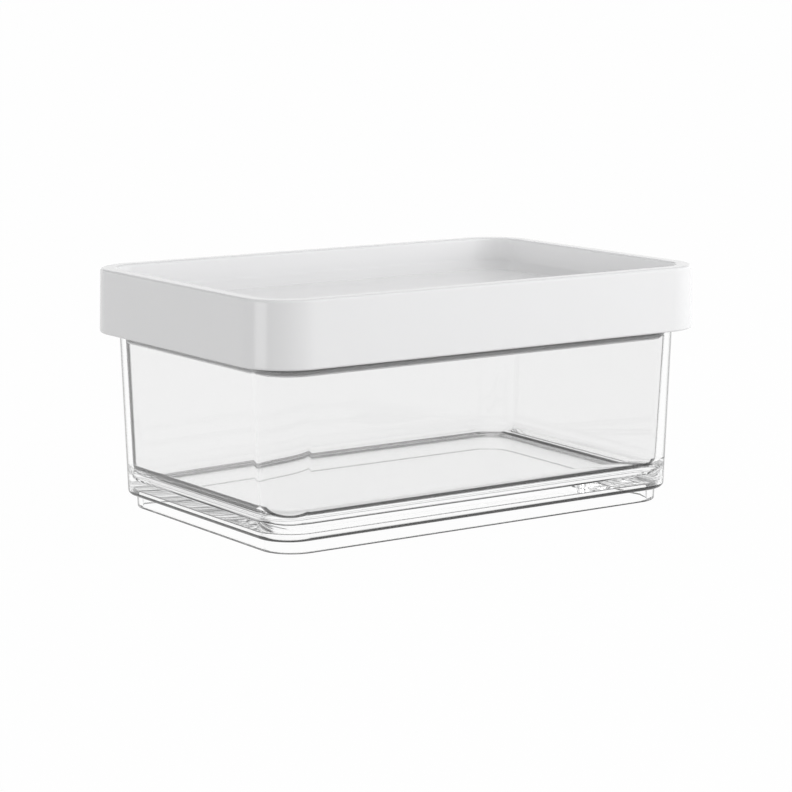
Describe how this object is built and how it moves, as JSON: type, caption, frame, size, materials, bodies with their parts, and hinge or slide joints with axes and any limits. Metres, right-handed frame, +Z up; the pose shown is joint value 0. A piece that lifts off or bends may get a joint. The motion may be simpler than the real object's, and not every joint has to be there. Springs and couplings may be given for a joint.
{
  "type": "stackable storage box",
  "caption": "Clear rectangular food storage box with drafted walls and a recessed foot, closed by a deep white lid with a sunk stacking tray and a push-in seal ring.",
  "frame": {"origin": "centre of the foot ring on the ground", "axes": "+X along the long side, -Y towards the front long wall, +Z up and along the lift of the lid"},
  "size_m": [0.2, 0.135, 0.0916],
  "materials": {
    "clear_plastic": "polished and clear",
    "white_plastic": "satin",
    "grey_rubber": "matte"
  },
  "bodies": {
    "container": {"container": "clear_plastic"},
    "lid": {"lid": "white_plastic", "seal_ring": "grey_rubber"}
  },
  "joints": [
    {"name": "lid_lift", "type": "slide", "parent": "container", "child": "lid", "axis": [0, 0, 1], "range_m": [0, 0.1]}
  ]
}
